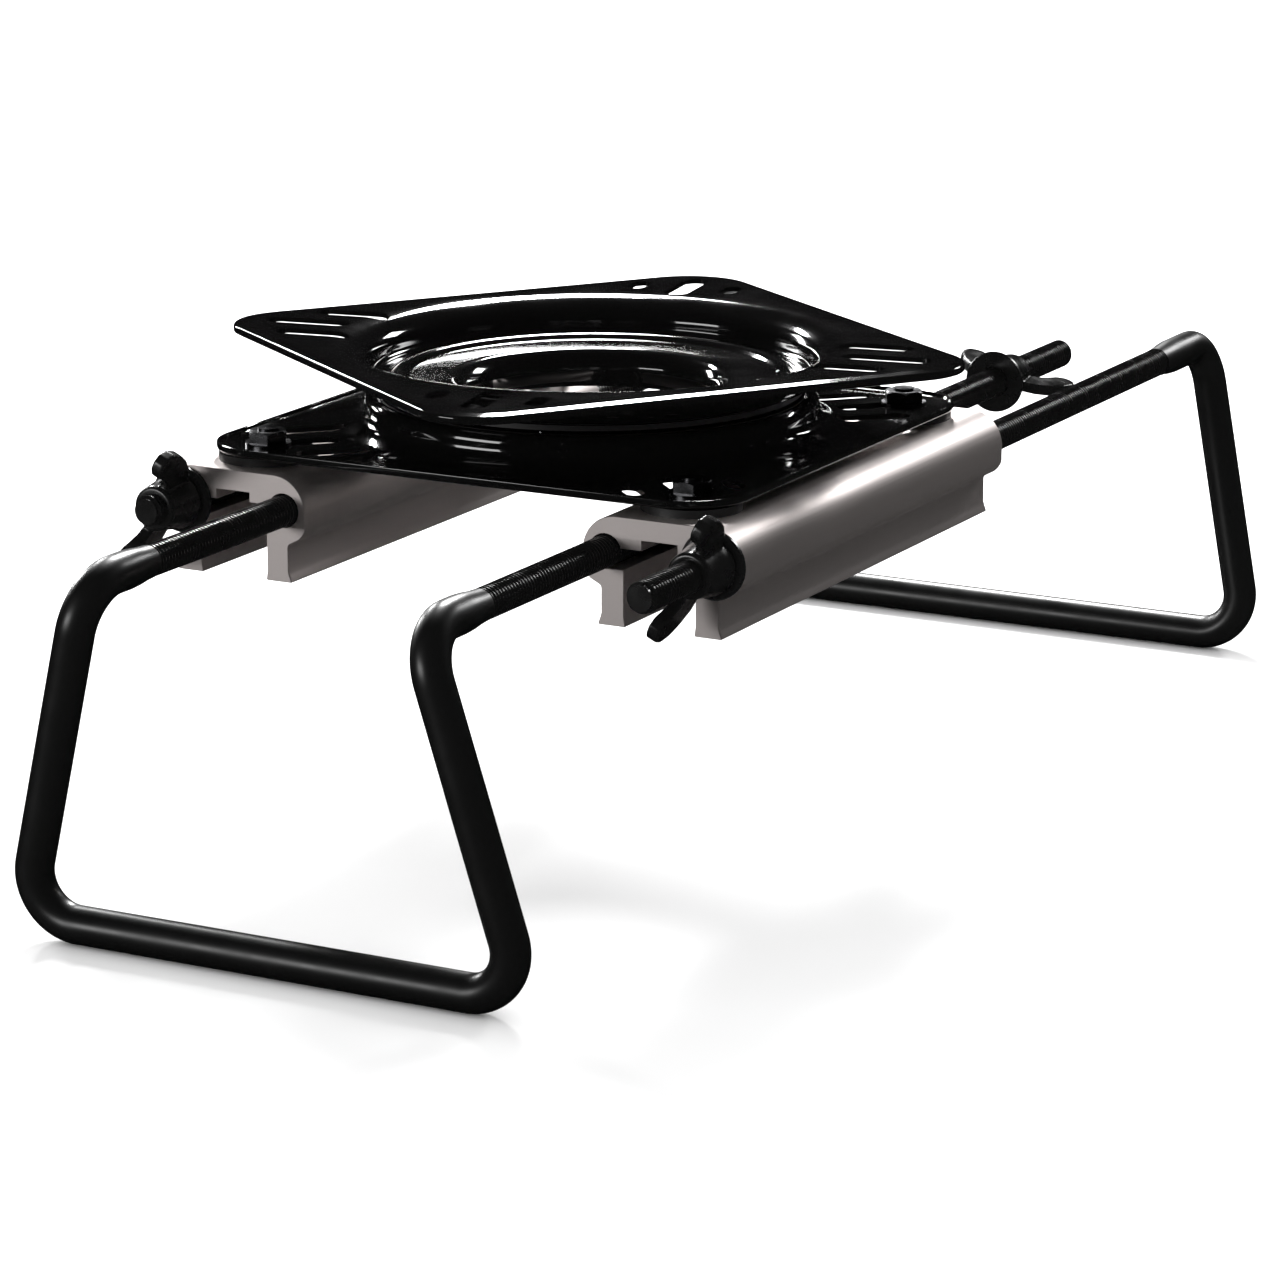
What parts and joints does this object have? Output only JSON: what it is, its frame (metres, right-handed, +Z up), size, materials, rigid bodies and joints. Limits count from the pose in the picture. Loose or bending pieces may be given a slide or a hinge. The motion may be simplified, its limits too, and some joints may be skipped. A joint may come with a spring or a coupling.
{
  "type": "clamp-on swivel seat base",
  "caption": "Clamp-on swivel seat base: square ball-race plates on two extruded rails, with bent hook rods drawn together by wing nuts.",
  "frame": {"origin": "centre of the bounding box's bottom face; the part stands on its two bottom bars at Z 0", "axes": "+X across the part, +Y along the rails from the front loop to the rear loop, +Z up out of the seat face"},
  "size_m": [0.2324, 0.4906, 0.1497],
  "materials": {
    "black_enamel": "gloss black enamel on pressed steel",
    "rail_aluminium": "satin extruded, fine lines along the length",
    "rod_black": "semi-gloss black coating on round steel rod",
    "fastener_black": "satin black on steel",
    "black_zinc": "black zinc plate",
    "ball_steel": "polished",
    "black_plastic": "fine matt"
  },
  "bodies": {
    "base": {"lower_plate": "black_enamel", "slip_ring": "black_plastic", "left_rail": "rail_aluminium", "right_rail": "rail_aluminium", "corner_spacers": "black_plastic", "plate_bolts": "black_zinc", "plate_washers": "black_zinc", "plate_nuts": "black_zinc"},
    "turntable": {"upper_plate": "black_enamel"},
    "race": {"ball_cage": "black_plastic", "race_balls": "ball_steel"},
    "front_loop_body": {"front_loop": "rod_black"},
    "rear_loop_body": {"rear_loop": "rod_black"},
    "front_left_washer_body": {"front_left_washer": "fastener_black"},
    "front_left_nut_body": {"front_left_wing_nut": "fastener_black"},
    "front_right_washer_body": {"front_right_washer": "fastener_black"},
    "front_right_nut_body": {"front_right_wing_nut": "fastener_black"},
    "rear_left_washer_body": {"rear_left_washer": "fastener_black"},
    "rear_left_nut_body": {"rear_left_wing_nut": "fastener_black"},
    "rear_right_washer_body": {"rear_right_washer": "fastener_black"},
    "rear_right_nut_body": {"rear_right_wing_nut": "fastener_black"}
  },
  "joints": [
    {"name": "swivel", "type": "hinge", "parent": "base", "child": "turntable", "pos_m": [0, -0.04279, 0.1497], "axis": [0, 0, 1], "continuous": true},
    {"name": "race_turn", "type": "hinge", "parent": "base", "child": "race", "pos_m": [0, -0.04279, 0.13578], "axis": [0, 0, 1], "continuous": true},
    {"name": "front_loop_slide", "type": "slide", "parent": "base", "child": "front_loop_body", "axis": [0, 1, 0], "range_m": [-0.06, 0.07]},
    {"name": "rear_loop_slide", "type": "slide", "parent": "base", "child": "rear_loop_body", "axis": [0, 1, 0], "range_m": [-0.14, 0]},
    {"name": "front_left_washer_slide", "type": "slide", "parent": "front_loop_body", "child": "front_left_washer_body", "axis": [0, 1, 0], "range_m": [-0.0192, 0.0192]},
    {"name": "front_left_nut_turn", "type": "hinge", "parent": "front_left_washer_body", "child": "front_left_nut_body", "pos_m": [-0.0545, -0.04279, 0.10875], "axis": [0, 1, 0], "range_deg": [-4320, 4320]},
    {"name": "front_right_washer_slide", "type": "slide", "parent": "front_loop_body", "child": "front_right_washer_body", "axis": [0, 1, 0], "range_m": [-0.0192, 0.0192]},
    {"name": "front_right_nut_turn", "type": "hinge", "parent": "front_right_washer_body", "child": "front_right_nut_body", "pos_m": [0.0545, -0.04279, 0.10875], "axis": [0, 1, 0], "range_deg": [-4320, 4320]},
    {"name": "rear_left_washer_slide", "type": "slide", "parent": "rear_loop_body", "child": "rear_left_washer_body", "axis": [0, 1, 0], "range_m": [-0.0048, 0]},
    {"name": "rear_left_nut_turn", "type": "hinge", "parent": "rear_left_washer_body", "child": "rear_left_nut_body", "pos_m": [-0.0899, -0.04279, 0.10875], "axis": [0, 1, 0], "range_deg": [-1080, 0]},
    {"name": "rear_right_washer_slide", "type": "slide", "parent": "rear_loop_body", "child": "rear_right_washer_body", "axis": [0, 1, 0], "range_m": [-0.0192, 0]},
    {"name": "rear_right_nut_turn", "type": "hinge", "parent": "rear_right_washer_body", "child": "rear_right_nut_body", "pos_m": [0.0899, -0.04279, 0.10875], "axis": [0, 1, 0], "range_deg": [-4320, 0]}
  ],
  "couplings": [
    {"joint": "race_turn", "follows": "swivel", "ratio": 0.5},
    {"joint": "front_left_washer_slide", "follows": "front_left_nut_turn", "m_per_rad": 0.00025266},
    {"joint": "front_right_washer_slide", "follows": "front_right_nut_turn", "m_per_rad": 0.00025266},
    {"joint": "rear_left_washer_slide", "follows": "rear_left_nut_turn", "m_per_rad": 0.00025266},
    {"joint": "rear_right_washer_slide", "follows": "rear_right_nut_turn", "m_per_rad": 0.00025266}
  ]
}
